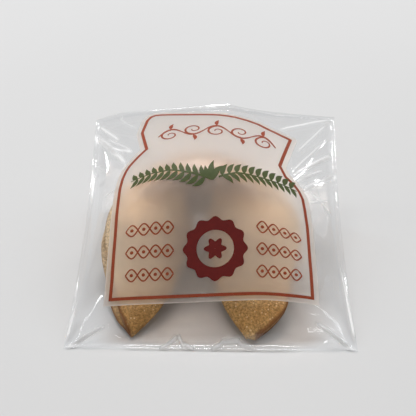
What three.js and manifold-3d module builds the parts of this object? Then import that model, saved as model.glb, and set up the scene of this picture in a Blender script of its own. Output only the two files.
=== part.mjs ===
// A fortune cookie in a clear sealed bag that carries a frosted label.
// Millimetres, +Z up, floor at z = 0. The cookie's two horns point along -Y, where the bag's
// front seam lies on the floor; its crown and the bag's back seam are off the floor at +Y.

import * as THREE from 'three';
import { mergeVertices } from 'three/addons/utils/BufferGeometryUtils.js';
import Module from 'manifold-3d';

const wasm = await Module();
wasm.setup();

// ---------------------------------------------------------------- driving dimensions

// The wafer: a round disc, folded in half over a diameter and bent over a rim.
const DISC_RADIUS = 48;
const WAFER = 1.8; // thickness
const RIM_RADIUS = 4.5; // of the edge that it was bent over
const HORN_GAP = 14; // between the horn tips as bent, before they flare
const HORN_REACH = 0.95; // tip to notch, as a share of the disc's radius
const SEAM_AT_HORN = 2.6; // between the two layers at their open edge
const SEAM_AT_CROWN = 7.0;
const STRETCH = { x: 1.22, thick: 0.78 }; // how far the hot wafer settled wider and flatter
const HORN_FLAT = { tip: 1.6, slope: 0.25, length: 16 }; // pressed thin toward each tip
const HORN_SOFT = { times: 30, rows: [6, 13] }; // even rows of the grid at each tip
const FLARE_DEG = 20; // the horns turn out by this
const FLARE_LENGTH = 22;
const HORN_SPREAD = { left: 3.0, right: 6.4 }; // of the open edge, most a third of the flare from the tip
const BELLY = { share: 0.09, slim: 0.02, from: 8, to: 24, back: [26, 38] }; // how the body fills out
const OPEN_HORN = { down: 2.0, out: 2.0, in: 1.2 }; // how the left horn's layers part at their edge
const RIPPLE = { depth: 0.5, length: 9 }; // of that layer's baked lip
const UNEVEN = 0.45; // slow unevenness of the whole wafer

// How the cookie lies: on its flank, tipped forward onto its horns.
const LIE = { tilt: 24, yaw: -3, x: -5.1, y: -35.1, clear: 0.1 };

// The bag: two films sealed together all round.
const BAG = {
  frontY: -38.8, backY: 38.8, frontX: [-42.7, 42.8], backX: [-41.9, 42.5], waist: 1.4,
  backZ: [28.7, 29.7], seam: 0.6, wall: 0.6, slack: 2.2,
  backArch: [[0, 0], [0.11, 3.2], [0.25, 4.4], [0.4, 5.3], [0.56, 6.1], [0.64, 4.2], [0.72, 2.9],
    [0.85, 1.5], [1, 0]], // rise of the back seam against the share from left to right
};
const POCKET_GAP = 1.0; // air between the cookie and the bag's solid
const RIM_GAP = 2.2; // and past the wafer's open edges
const VENT = { side: 4, height: 6, x: [-21.5, 12.5], y: -29 }; // each mouth of the pocket

// The label: a jar outline with both sides as [height from the lower edge, x], stated flat.
const LABEL = {
  length: 74.6, thickness: 0.35, gap: 0.5, front: -30.2, skew: 0.011,
  left: [[0, -30.9], [8, -30.3], [22, -29.7], [41, -29.5], [44.6, -29], [47.2, -28.1], [49.2, -26.9],
    [51.6, -24.5], [53.6, -22.4], [62.3, -24.7], [70.3, -23.7], [73.2, -22.3], [74.6, -20]],
  right: [[0, 31.5], [15.7, 30.9], [29, 30.7], [36, 30.2], [40, 29.7], [42.5, 28.4], [44.4, 26.4],
    [45.6, 24], [47.4, 23], [50.2, 23.9], [61, 27.6], [62.5, 23], [64.6, 19.6], [67.4, 16],
    [69.3, 12.1], [70.6, 8], [71.8, 2], [73.2, -8], [74.6, -17]],
};

const WAFER_STEPS = { along: 40, across: 30 };
const BAG_STEPS = { across: 32, along: 30 };
const LABEL_STEPS = { across: 16, along: 36 };

// ---------------------------------------------------------------- small helpers

const lerp = THREE.MathUtils.lerp;
const clamp = THREE.MathUtils.clamp;
const smooth = (x, from, to) => THREE.MathUtils.smoothstep(x, from, to);
const radians = THREE.MathUtils.degToRad;

// Reads y at x from [x, y] pairs with straight lines between them.
function readTable(table, x) {
  const k = clamp(table.findIndex(([at]) => at >= x), 1, table.length - 1);
  const [[x0, y0], [x1, y1]] = [table[k - 1], table[k]];
  return lerp(y0, y1, clamp((x - x0) / (x1 - x0), 0, 1));
}

// Collects triangles and quads of shared points into one closed geometry.
class Skin {
  points = [];
  faces = [];

  add(x, y, z) {
    return this.points.push(x, y, z) / 3 - 1;
  }

  tri(a, b, c) {
    if (a !== b && b !== c && c !== a) this.faces.push(a, b, c);
  }

  quad(a, b, c, d) {
    this.tri(a, b, c);
    this.tri(a, c, d);
  }

  geometry() {
    const made = new THREE.BufferGeometry();
    made.setAttribute('position', new THREE.Float32BufferAttribute(this.points, 3));
    made.setIndex(this.faces);
    return made;
  }
}

function toManifold(geometry) {
  const bare = geometry.clone();
  bare.deleteAttribute('normal');
  bare.deleteAttribute('uv');
  const merged = mergeVertices(bare, 1e-4);
  const vertProperties = new Float32Array(merged.attributes.position.array);
  const triVerts = new Uint32Array(merged.index.array);
  return new wasm.Manifold(new wasm.Mesh({ numProp: 3, vertProperties, triVerts }));
}

function toGeometry(manifold) {
  const mesh = manifold.getMesh();
  const made = new THREE.BufferGeometry();
  made.setAttribute('position', new THREE.BufferAttribute(mesh.vertProperties, 3));
  made.setIndex(new THREE.BufferAttribute(mesh.triVerts, 1));
  return made;
}

// ---------------------------------------------------------------- the wafer's middle surface

// The disc as a grid: i runs along the fold from tip to tip, j from one layer's open edge over
// the fold to the other's. All j meet in one point at each tip.
class Wafer {
  constructor({ along, across }) {
    this.along = along;
    this.across = across;
    this.flat = [];
    for (let i = 0; i <= along; i += 1) {
      const u = -DISC_RADIUS * Math.cos((Math.PI * i) / along);
      const half = Math.sqrt(Math.max(0, DISC_RADIUS ** 2 - u ** 2));
      for (let j = 0; j <= across; j += 1) this.flat[this.at(i, j)] = [u, half * ((2 * j) / across - 1)];
    }
    this.place = this.flat.map(([u, v]) => Wafer.taco(u, v));
  }

  at(i, j) {
    if (i === 0) return 0;
    if (i === this.along) return 1;
    return 2 + (i - 1) * (this.across + 1) + j;
  }

  // Folded loosely over a bar, before it is bent: x along the fold, y away from it.
  static taco(u, v) {
    const bar = lerp(1.3, 6, Math.sqrt(1 - Math.abs(u) / DISC_RADIUS));
    const round = Math.min(Math.abs(v), (Math.PI * bar) / 2);
    const y = bar * (1 - Math.cos(round / bar)) + Math.abs(v) - round;
    return new THREE.Vector3(u, y, Math.sign(v) * bar * Math.sin(round / bar));
  }

  each(visit) {
    for (let i = 0; i <= this.along; i += 1) {
      for (let j = 0; j <= this.across; j += 1) visit(i, j, this.place[this.at(i, j)]);
    }
  }

  get(i, j) {
    return this.place[this.at(i, j)];
  }

  // Unit normal that points out of the folded pocket.
  normal(i, j) {
    const at = (a, b) => this.get(clamp(a, 0, this.along), clamp(b, 0, this.across));
    const alongU = at(i + 1, j).clone().sub(at(i - 1, j));
    const acrossV = at(i, j + 1).clone().sub(at(i, j - 1));
    return alongU.cross(acrossV).normalize();
  }
}

// Pairs of grid points with their flat distance and how firmly it is kept.
function waferLinks(wafer) {
  const { along, across } = wafer;
  const bend = 0.03;
  const links = [];
  const link = (a, b, firm) => {
    if (a === b) return;
    const [[ua, va], [ub, vb]] = [wafer.flat[a], wafer.flat[b]];
    links.push([a, b, Math.hypot(ua - ub, va - vb), firm]);
  };
  for (let i = 0; i <= along; i += 1) {
    for (let j = 0; j <= across; j += 1) {
      const here = wafer.at(i, j);
      const inside = i > 0 && i < along;
      if (i < along) link(here, wafer.at(i + 1, j), 1);
      if (j < across && inside) link(here, wafer.at(i, j + 1), 1);
      if (i < along && j < across) {
        link(here, wafer.at(i + 1, j + 1), 0.8);
        link(wafer.at(i, j + 1), wafer.at(i + 1, j), 0.8);
      }
      if (i < along - 1) link(here, wafer.at(i + 2, j), bend);
      if (j < across - 1 && inside) link(here, wafer.at(i, j + 2), bend);
    }
  }
  return links;
}

function keepLengths(wafer, links) {
  for (const [a, b, length, firm] of links) {
    const [p, q] = [wafer.place[a], wafer.place[b]];
    const [dx, dy, dz] = [q.x - p.x, q.y - p.y, q.z - p.z];
    const now = Math.hypot(dx, dy, dz) || 1e-9;
    const share = (0.5 * firm * (now - length)) / now;
    p.set(p.x + share * dx, p.y + share * dy, p.z + share * dz);
    q.set(q.x - share * dx, q.y - share * dy, q.z - share * dz);
  }
}

// The folded wafer is thin near a tip, and free to swell further up the horn.
function hornHalfThickness(fromTip) {
  return HORN_FLAT.tip + HORN_FLAT.slope * fromTip + 6 * (fromTip / HORN_FLAT.length) ** 3;
}

// The two layers nearly meet at their open edge, and never cross.
function keepLayers(wafer) {
  const { along, across } = wafer;
  for (let i = 1; i < along; i += 1) {
    const [low, high] = [wafer.get(i, 0), wafer.get(i, across)];
    const towardTip = Math.abs(wafer.flat[wafer.at(i, 0)][0]) / DISC_RADIUS;
    const gap = high.z - low.z;
    const wanted = clamp(gap, 2.4, lerp(SEAM_AT_CROWN, SEAM_AT_HORN, towardTip));
    high.z -= (gap - wanted) / 2;
    low.z += (gap - wanted) / 2;
    for (let j = 0; j <= across; j += 1) {
      const side = Math.sign(j - across / 2);
      const least = 1.2 * Math.min(1, Math.abs(j - across / 2) / 2);
      const p = wafer.get(i, j);
      if (side * p.z < least) p.z = side * least;
      const most = hornHalfThickness(DISC_RADIUS - Math.abs(wafer.flat[wafer.at(i, j)][0]));
      if (side * p.z > most) p.z = side * most;
    }
  }
}

// Nothing enters the rim that the fold was bent over, which runs along Z.
function keepOffRim(wafer) {
  for (const p of wafer.place) {
    const reach = Math.hypot(p.x, p.y + RIM_RADIUS);
    if (reach < RIM_RADIUS) {
      p.x *= RIM_RADIUS / (reach || 1e-9);
      p.y = (p.y + RIM_RADIUS) * (RIM_RADIUS / (reach || 1e-9)) - RIM_RADIUS;
    }
  }
}

// Steam holds the layers apart while the wafer is soft.
function puff(wafer, push) {
  const pushes = [];
  for (let i = 1; i < wafer.along; i += 1) {
    for (let j = 1; j < wafer.across; j += 1) {
      pushes.push([wafer.get(i, j), wafer.normal(i, j).multiplyScalar(push)]);
    }
  }
  for (const [p, step] of pushes) p.add(step);
}

// Both halves and both layers settle alike.
function mirror(wafer) {
  const { along, across } = wafer;
  for (let i = 0; i <= along / 2; i += 1) {
    for (let j = 0; j <= across / 2; j += 1) {
      const four = [wafer.get(i, j), wafer.get(along - i, j),
        wafer.get(i, across - j), wafer.get(along - i, across - j)];
      const x = (four[0].x - four[1].x + four[2].x - four[3].x) / 4;
      const y = (four[0].y + four[1].y + four[2].y + four[3].y) / 4;
      const z = (four[0].z + four[1].z - four[2].z - four[3].z) / 4;
      four[3].set(-x, y, -z);
      four[2].set(x, y, -z);
      four[1].set(-x, y, z);
      four[0].set(x, y, z);
    }
  }
}

// Bends the folded disc over the rim and lets it settle. The notch stays at the origin.
function bendWafer(wafer) {
  const links = waferLinks(wafer);
  const [bending, settling, passes] = [160, 240, 5];
  const notch = wafer.get(wafer.along / 2, wafer.across / 2);
  const lastAngle = Math.acos(HORN_GAP / 2 / (HORN_REACH * DISC_RADIUS));
  for (let step = 0; step < bending + settling; step += 1) {
    const done = smooth(step, 0, bending);
    const [reach, angle] = [DISC_RADIUS * lerp(1, HORN_REACH, done), lastAngle * done];
    puff(wafer, 0.15 * done);
    for (let pass = 0; pass < passes; pass += 1) {
      wafer.get(0, 0).set(-reach * Math.cos(angle), -reach * Math.sin(angle), 0);
      wafer.get(wafer.along, 0).set(reach * Math.cos(angle), -reach * Math.sin(angle), 0);
      keepLengths(wafer, links);
      keepLayers(wafer);
      keepOffRim(wafer);
      notch.set(0, 0, 0);
      mirror(wafer);
    }
  }
}

// Takes the grid's own corners off the settled wafer: each point moves toward the middle of
// its neighbours, by a share that depends on its row from the tip and its column.
function soften(wafer, times, shareOf) {
  const { along, across } = wafer;
  for (let time = 0; time < times; time += 1) {
    const moved = [];
    for (let i = 1; i < along; i += 1) {
      for (let j = 1; j < across; j += 1) {
        const mean = new THREE.Vector3();
        for (const [a, b] of [[i - 1, j], [i + 1, j], [i, j - 1], [i, j + 1]]) mean.add(wafer.get(a, b));
        moved.push([wafer.get(i, j), mean.multiplyScalar(0.25), shareOf(Math.min(i, along - i), j)]);
      }
    }
    for (const [p, mean, share] of moved) p.lerp(mean, share);
  }
}

// Near a tip each layer lies smooth between the fold and its own open edge, which stay put.
function flattenHorns(wafer) {
  const fold = wafer.across / 2;
  soften(wafer, HORN_SOFT.times, (row, j) => (j === fold ? 0 : 0.6 * (1 - smooth(row, ...HORN_SOFT.rows))));
}

// Turns each horn outward about the point where its flare begins, and spreads its open edge.
function flareHorns(wafer) {
  const start = wafer.get(0, 0).y + FLARE_LENGTH;
  wafer.each((i, j, p) => {
    if (j > 0 && (i === 0 || i === wafer.along)) return;
    const share = clamp((start - p.y) / FLARE_LENGTH, 0, 1);
    const side = Math.sign(p.x);
    const angle = side * radians(FLARE_DEG) * share ** 1.5;
    const pivot = side * 20;
    const [dx, dy] = [p.x - pivot, p.y - start];
    const fromFold = Math.abs((2 * j) / wafer.across - 1);
    p.x = pivot + dx * Math.cos(angle) - dy * Math.sin(angle);
    const spread = side < 0 ? HORN_SPREAD.left : HORN_SPREAD.right;
    p.x += side * spread * fromFold * 6.75 * share ** 2 * (1 - share);
    p.y = start + dx * Math.sin(angle) + dy * Math.cos(angle);
  });
}

// Widens the body, from a little way up each horn; less in the left flank's upper layer and
// toward the crown on that side.
function fillOut(wafer) {
  const tip = wafer.get(0, 0).y;
  wafer.each((i, j, p) => {
    if (i === 0 || i === wafer.along) return;
    const slim = Math.max(smooth(j / wafer.across, 0.5, 1), smooth(p.y - tip, ...BELLY.back));
    const share = p.x < 0 ? lerp(BELLY.share, BELLY.slim, slim) : BELLY.share;
    p.x *= 1 + share * smooth(p.y - tip, BELLY.from, BELLY.to);
  });
}

// What makes this cookie its own: a slack lower lip that stands out past the upper one on the
// left horn, and slow unevenness.
function makeUneven(wafer) {
  wafer.each((i, j, p) => {
    const fromTip = i / wafer.along;
    const lower = smooth(0.5 - j / wafer.across, 0, 0.5);
    const upper = smooth(j / wafer.across - 0.5, 0, 0.5);
    const open = smooth(fromTip, 0, 0.05) * (1 - smooth(fromTip, 0.09, 0.24));
    const wave = Math.sin((2 * Math.PI * p.y) / RIPPLE.length);
    p.z += lower * open * (RIPPLE.depth * wave - OPEN_HORN.down);
    p.x -= lower ** 2 * open * (OPEN_HORN.out + RIPPLE.depth * wave) - OPEN_HORN.in * upper ** 2 * open;
  });
  for (const p of wafer.place) {
    const wave = Math.sin(p.x / 9 + 1.3) * Math.cos(p.y / 8 - 0.4) + 0.6 * Math.sin(p.x / 5 - p.y / 6);
    p.z *= 1 + (UNEVEN * wave) / 16;
    p.y += UNEVEN * Math.sin(p.x / 7 + 0.5);
  }
}

// Stands the cookie where it lies in the bag.
function layDown(wafer) {
  const turn = new THREE.Euler(radians(LIE.tilt), 0, radians(LIE.yaw), 'ZXY');
  const tips = wafer.get(0, 0).clone().lerp(wafer.get(wafer.along, 0), 0.5);
  for (const p of wafer.place) p.sub(tips).applyEuler(turn);
  const bottom = Math.min(...wafer.place.map((p) => p.z)) - WAFER / 2;
  for (const p of wafer.place) p.add(new THREE.Vector3(LIE.x, LIE.y, LIE.clear - bottom));
}

function settledWafer() {
  const wafer = new Wafer(WAFER_STEPS);
  bendWafer(wafer);
  soften(wafer, 3, () => 0.4);
  flattenHorns(wafer);
  for (const p of wafer.place) p.set(p.x * STRETCH.x, p.y, p.z * STRETCH.thick);
  fillOut(wafer);
  makeUneven(wafer);
  flareHorns(wafer);
  layDown(wafer);
  return wafer;
}

// ---------------------------------------------------------------- cookie

// The wafer's surface moved along its normals; a tip moves straight out along its horn.
function offsetSurface(wafer, offsetAt) {
  const { along, across } = wafer;
  const moved = [];
  for (let i = 0; i <= along; i += 1) {
    for (let j = 0; j <= across; j += 1) {
      const p = wafer.get(i, j);
      const tip = i === 0 || i === along;
      const inward = wafer.get(clamp(i, 2, along - 2), across / 2);
      const way = tip ? p.clone().sub(inward).normalize() : wafer.normal(i, j);
      moved[wafer.at(i, j)] = p.clone().addScaledVector(way, offsetAt(i, j));
    }
  }
  return moved;
}

// The wafer's inner face. Where the layers are pressed together each keeps its own side.
function innerSurface(wafer) {
  const { across } = wafer;
  return offsetSurface(wafer, (i, j) => {
    const beside = j === across / 2 ? j - 1 : j;
    const room = wafer.get(i, beside).distanceTo(wafer.get(i, across - beside)) / 2;
    return -clamp(room - 0.2, 0.1, WAFER / 2);
  });
}

function cookieGeometry(wafer) {
  const { along, across } = wafer;
  const skin = new Skin();
  const outer = offsetSurface(wafer, () => WAFER / 2).map((p) => skin.add(p.x, p.y, p.z));
  const inner = innerSurface(wafer).map((p) => skin.add(p.x, p.y, p.z));
  for (let i = 0; i < along; i += 1) {
    for (let j = 0; j < across; j += 1) {
      const ring = [[i, j], [i + 1, j], [i + 1, j + 1], [i, j + 1]].map(([a, b]) => wafer.at(a, b));
      skin.quad(...ring.map((k) => outer[k]));
      skin.quad(...ring.toReversed().map((k) => inner[k]));
    }
    const [first, next] = [wafer.at(i, 0), wafer.at(i + 1, 0)];
    skin.quad(outer[next], outer[first], inner[first], inner[next]);
    const [last, after] = [wafer.at(i, across), wafer.at(i + 1, across)];
    skin.quad(outer[last], outer[after], inner[after], inner[last]);
  }
  return skin.geometry();
}

// ---------------------------------------------------------------- the bag's two films

// A grid over the bag in plan: a from its left side to its right, b from front to back.
class Sheet {
  constructor({ across, along }) {
    this.across = across;
    this.along = along;
    this.z = new Float64Array((across + 1) * (along + 1));
  }

  at(a, b) {
    return b * (this.across + 1) + a;
  }

  place(a, b) {
    const y = lerp(BAG.frontY, BAG.backY, b / this.along);
    const [left, right] = bagSides(y);
    return [lerp(left, right, a / this.across), y];
  }

  edge(a, b) {
    return a === 0 || b === 0 || a === this.across || b === this.along;
  }

  each(visit) {
    for (let b = 0; b <= this.along; b += 1) {
      for (let a = 0; a <= this.across; a += 1) visit(a, b, this.at(a, b));
    }
  }

  // Height at a point in plan, on straight lines between grid points.
  read(x, y) {
    const b = clamp((y - BAG.frontY) / (BAG.backY - BAG.frontY), 0, 1) * this.along;
    const [left, right] = bagSides(y);
    const a = clamp((x - left) / (right - left), 0, 1) * this.across;
    const [a0, b0] = [Math.min(Math.floor(a), this.across - 1), Math.min(Math.floor(b), this.along - 1)];
    const row = (k) => lerp(this.z[this.at(a0, k)], this.z[this.at(a0 + 1, k)], a - a0);
    return lerp(row(b0), row(b0 + 1), b - b0);
  }

  // The point this far off the film's highest spot hereabouts, square to the film.
  lifted(x, y, gap) {
    const near = 1;
    const [left, right] = [this.read(x - near, y), this.read(x + near, y)];
    const [front, back] = [this.read(x, y - near), this.read(x, y + near)];
    const normal = new THREE.Vector3((left - right) / (2 * near), (front - back) / (2 * near), 1).normalize();
    const flat = (left + right + front + back) / 4;
    const bump = Math.max(0, flat - this.read(x, y), this.read(x, y) - flat);
    return new THREE.Vector3(x, y, this.read(x, y) + bump).addScaledVector(normal, gap);
  }
}

// The side seams in plan: straight from corner to corner, drawn in a little at the waist.
function bagSides(y) {
  const share = clamp((y - BAG.frontY) / (BAG.backY - BAG.frontY), 0, 1);
  const waist = BAG.waist * Math.sin(Math.PI * share);
  return [lerp(BAG.frontX[0], BAG.backX[0], share) + waist, lerp(BAG.frontX[1], BAG.backX[1], share) - waist];
}

// The seams' middle height: the front lies on the floor, the back arches up off it.
function seamHeight(x, y) {
  const back = clamp((y - BAG.frontY) / (BAG.backY - BAG.frontY), 0, 1);
  const [left, right] = bagSides(y);
  const across = clamp((x - left) / (right - left), 0, 1);
  const arch = readTable(BAG.backArch, across) * back ** 3;
  return BAG.seam / 2 + back * lerp(BAG.backZ[0], BAG.backZ[1], across) + arch;
}

// Highest (side 1) or lowest (side -1) point of the cookie's solid near each grid point.
function cookieReach(sheet, solid, side, near) {
  const reach = sheet.z.map(() => -Infinity);
  sheet.each((a, b, k) => {
    const [x, y] = sheet.place(a, b);
    for (let p = 0; p < solid.length; p += 3) {
      if (Math.hypot(solid[p] - x, solid[p + 1] - y) < near) reach[k] = Math.max(reach[k], side * solid[p + 2]);
    }
  });
  return reach;
}

// A taut film: it spans straight between whatever holds it up, in every direction.
function pullTaut(sheet, held) {
  const ways = [[1, 0], [0, 1], [1, 1], [1, -1], [2, 1], [1, 2], [2, -1], [1, -2]];
  const inside = (a, b) => a >= 0 && b >= 0 && a <= sheet.across && b <= sheet.along;
  for (let sweep = 0; sweep < 40; sweep += 1) {
    sheet.each((a, b, k) => {
      if (sheet.edge(a, b)) return;
      for (const [da, db] of ways) {
        for (const n of [1, 2, 4, 8]) {
          const [a0, b0, a1, b1] = [a - n * da, b - n * db, a + n * da, b + n * db];
          if (!inside(a0, b0) || !inside(a1, b1)) continue;
          const span = (sheet.z[sheet.at(a0, b0)] + sheet.z[sheet.at(a1, b1)]) / 2;
          if (span > sheet.z[k]) sheet.z[k] = span;
        }
      }
    });
  }
  for (let pass = 0; pass < 3; pass += 1) {
    const before = sheet.z.slice();
    sheet.each((a, b, k) => {
      if (sheet.edge(a, b)) return;
      const mean = (before[k - 1] + before[k + 1] + before[k - sheet.across - 1] + before[k + sheet.across + 1]) / 4;
      sheet.z[k] = Math.max(held[k], lerp(before[k], mean, 0.6));
    });
  }
}

// One film over (side 1) or under (side -1) the cookie, as a height over the plan.
function film(side, solid) {
  const sheet = new Sheet(BAG_STEPS);
  const held = cookieReach(sheet, solid, side, 2.4).map((z) => z + BAG.wall);
  sheet.each((a, b, k) => {
    const seam = side * seamHeight(...sheet.place(a, b)) + BAG.seam / 2;
    sheet.z[k] = sheet.edge(a, b) ? seam : Math.max(held[k], -100);
  });
  pullTaut(sheet, held);
  return sheet;
}

function underFilm(solid) {
  const sheet = film(-1, solid);
  sheet.each((a, b, k) => {
    const slack = sheet.edge(a, b) ? 0 : BAG.slack;
    sheet.z[k] = Math.max(0, -sheet.z[k] - slack);
  });
  return sheet;
}

// The bag as a solid out to its films, with a pocket in the cookie's form that is open below
// at the two spots where the horns rest.
function bagGeometry(over, under, pocket) {
  const skin = new Skin();
  const [top, base] = [over, under].map((sheet) => {
    const ids = [];
    sheet.each((a, b, k) => {
      ids[k] = skin.add(...sheet.place(a, b), sheet.z[k]);
    });
    return ids;
  });
  const quad = (ids, ring) => skin.quad(...ring.map(([a, b]) => ids[over.at(a, b)]));
  for (let b = 0; b < over.along; b += 1) {
    for (let a = 0; a < over.across; a += 1) {
      const ring = [[a, b], [a + 1, b], [a + 1, b + 1], [a, b + 1]];
      quad(top, ring);
      quad(base, ring.toReversed());
    }
  }
  const wall = (a0, b0, a1, b1) => {
    const [p, q] = [over.at(a0, b0), over.at(a1, b1)];
    skin.quad(base[p], base[q], top[q], top[p]);
  };
  for (let a = 0; a < over.across; a += 1) {
    wall(a, 0, a + 1, 0);
    wall(a + 1, over.along, a, over.along);
  }
  for (let b = 0; b < over.along; b += 1) {
    wall(0, b + 1, 0, b);
    wall(over.across, b, over.across, b + 1);
  }
  let bag = toManifold(skin.geometry()).subtract(toManifold(pocket));
  for (const x of VENT.x) {
    const vent = new THREE.BoxGeometry(VENT.side, VENT.side, VENT.height);
    bag = bag.subtract(toManifold(vent.translate(x, VENT.y, 0)));
  }
  return toGeometry(bag);
}

// The cookie's outer form with its mouth closed over, grown by the gaps all round. Every other
// row is left out on the horns.
function filledCookie(wafer) {
  const { along, across } = wafer;
  const grown = offsetSurface(wafer, () => WAFER / 2 + POCKET_GAP);
  for (let i = 1; i < along; i += 1) {
    for (const [rim, next] of [[0, 1], [across, across - 1]]) {
      const outward = wafer.get(i, rim).clone().sub(wafer.get(i, next)).normalize();
      grown[wafer.at(i, rim)].addScaledVector(outward, RIM_GAP);
    }
  }
  const rows = [];
  for (let i = 0; i <= along; i += 1) {
    const onHorn = Math.min(i, along - i) < 8;
    if (!onHorn || i % 2 === 0) rows.push(i);
  }
  const skin = new Skin();
  for (const p of grown) skin.add(p.x, p.y, p.z);
  for (let r = 0; r < rows.length - 1; r += 1) {
    const [row, next] = [rows[r], rows[r + 1]];
    for (let j = 0; j <= across; j += 1) {
      const k = (j + 1) % (across + 1);
      skin.quad(wafer.at(row, j), wafer.at(next, j), wafer.at(next, k), wafer.at(row, k));
    }
  }
  return skin.geometry();
}

// ---------------------------------------------------------------- label

// The label bends over the bag from front to back: its lower edge hangs over the horns.
function labelGeometry(over) {
  const { across, along } = LABEL_STEPS;
  const rows = labelRows(over, along);
  const skin = new Skin();
  const ids = [];
  for (const { y, left, right } of rows) {
    const row = [];
    for (let c = 0; c <= across; c += 1) {
      const x = lerp(left, right, c / across);
      const lower = over.lifted(x, y + LABEL.skew * x, LABEL.gap);
      const upper = over.lifted(lower.x, lower.y, LABEL.gap + LABEL.thickness);
      row.push([lower, upper].map((p) => skin.add(p.x, p.y, p.z)));
    }
    ids.push(row);
  }
  for (let r = 0; r < along; r += 1) {
    for (let c = 0; c < across; c += 1) {
      const ring = [[r, c], [r, c + 1], [r + 1, c + 1], [r + 1, c]];
      skin.quad(...ring.map(([a, b]) => ids[a][b][1]));
      skin.quad(...ring.toReversed().map(([a, b]) => ids[a][b][0]));
    }
    skin.quad(ids[r][0][0], ids[r][0][1], ids[r + 1][0][1], ids[r + 1][0][0]);
    skin.quad(ids[r][across][1], ids[r][across][0], ids[r + 1][across][0], ids[r + 1][across][1]);
  }
  for (let c = 0; c < across; c += 1) {
    skin.quad(ids[0][c][0], ids[0][c + 1][0], ids[0][c + 1][1], ids[0][c][1]);
    skin.quad(ids[along][c][1], ids[along][c + 1][1], ids[along][c + 1][0], ids[along][c][0]);
  }
  return skin.geometry();
}

// Where each row of the flat label comes to lie along the film.
function labelRows(over, along) {
  const step = 0.25;
  const path = [[0, LABEL.front]];
  while (path.at(-1)[0] < LABEL.length) {
    const [run, y] = path.at(-1);
    path.push([run + Math.hypot(step, over.read(0, y + step) - over.read(0, y)), y + step]);
  }
  return Array.from({ length: along + 1 }, (_, k) => {
    const run = (LABEL.length * k) / along;
    return { y: readTable(path, run), left: readTable(LABEL.left, run), right: readTable(LABEL.right, run) };
  });
}

// ---------------------------------------------------------------- the object

function part(name, geometry, look) {
  const mesh = new THREE.Mesh(geometry, new THREE.MeshStandardMaterial(look));
  mesh.name = name;
  return mesh;
}

const wafer = settledWafer();
const pocket = filledCookie(wafer);
const pocketPoints = pocket.attributes.position.array;
const over = film(1, pocketPoints);
const under = underFilm(pocketPoints);

const baked = { color: 0xc08a4a, roughness: 0.75, metalness: 0 };
const clear = { color: 0xe8eef0, roughness: 0.08, metalness: 0, transparent: true, opacity: 0.25 };
const frosted = { color: 0xf2e9e2, roughness: 0.5, metalness: 0, transparent: true, opacity: 0.7 };

const group = new THREE.Group();
group.add(part('cookie', cookieGeometry(wafer), baked));
group.add(part('bag', bagGeometry(over, under, pocket), clear));
group.add(part('label', labelGeometry(over), frosted));

export default group;
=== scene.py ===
"""A fortune cookie in a clear sealed bag that carries a frosted label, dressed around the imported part.

+Z up, floor at z = 0. The cookie's horns and the bag's front seam point along -Y. Lengths are in
millimetres, unless a comment says metres, and become metres where vertices are made.
"""

import math

import bmesh
import bpy
import numpy as np
from mathutils import Matrix, Vector, noise
from mathutils.bvhtree import BVHTree
from mathutils.kdtree import KDTree


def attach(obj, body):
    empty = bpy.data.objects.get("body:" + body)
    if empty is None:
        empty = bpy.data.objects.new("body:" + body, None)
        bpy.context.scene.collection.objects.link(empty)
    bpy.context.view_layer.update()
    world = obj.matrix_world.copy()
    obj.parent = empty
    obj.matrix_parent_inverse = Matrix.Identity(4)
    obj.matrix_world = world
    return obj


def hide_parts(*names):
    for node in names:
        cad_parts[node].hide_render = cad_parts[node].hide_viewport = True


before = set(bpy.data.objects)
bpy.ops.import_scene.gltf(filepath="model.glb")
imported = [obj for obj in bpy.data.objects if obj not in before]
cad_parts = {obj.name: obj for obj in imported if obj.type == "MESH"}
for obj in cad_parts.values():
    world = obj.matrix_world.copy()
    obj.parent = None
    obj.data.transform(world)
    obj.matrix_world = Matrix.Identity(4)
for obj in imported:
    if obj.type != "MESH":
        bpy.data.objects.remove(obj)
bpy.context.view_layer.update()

MM = 0.001

# ---------------------------------------------------------------- sizes, in millimetres

# The bag in plan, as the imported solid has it.
BAG_Y = (-38.8, 38.8)
BAG_LENGTH = BAG_Y[1] - BAG_Y[0]
BAG_WIDTH = 85  # about, to tell how far a point is from the sides
BAG_LEFT = (-42.7, -41.9)  # x of its left side, front and back
BAG_RIGHT = (42.8, 42.5)
BAG_WAIST = 1.4  # each side is drawn in by this midway
SEAM_THICK = 0.16
UNDER_LIFT = 0.15  # the lower film over the floor
LOWEST = 0.03  # the film never comes nearer to the floor
THINNEST = 0.02  # from one film to the other

FILM_GRID = (260, 240)  # steps across and along, both even
EDGE_INSET = 0.12  # so that a ray at the bag's edge still meets its solid
FILM_SOFTENING = 24  # passes over the heights, which take the solid's facets out of them
SOFTEN_SHARE = 0.8

# The label, flat: both sides as (height from the lower edge, x).
LABEL_FRONT_Y = -30.2
LABEL_SKEW = 0.011  # it lies turned by this, in y for each x
LABEL_LENGTH = 74.6
LABEL_LEFT = ((0, -30.9), (8, -30.3), (22, -29.7), (41, -29.5), (44.6, -29), (47.2, -28.1),
              (49.2, -26.9), (51.6, -24.5), (53.6, -22.4), (62.3, -24.7), (70.3, -23.7),
              (73.2, -22.3), (74.6, -20))
LABEL_RIGHT = ((0, 31.5), (15.7, 30.9), (29, 30.7), (36, 30.2), (40, 29.7), (42.5, 28.4),
               (44.4, 26.4), (45.6, 24), (47.4, 23), (50.2, 23.9), (61, 27.6), (62.5, 23),
               (64.6, 19.6), (67.4, 16), (69.3, 12.1), (70.6, 8), (71.8, 2), (73.2, -8), (74.6, -17))
LABEL_LIFT = 0.45  # over the film
LABEL_THICK = 0.2
LABEL_CELLS = (90, 150)  # across and along
LABEL_BORDER = 0.35  # the cut edge's own row of cells, painted whiter as a highlight
PRINT_LIFT = LABEL_LIFT + LABEL_THICK + 0.03
PRINT_THICK = 0.03

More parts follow.
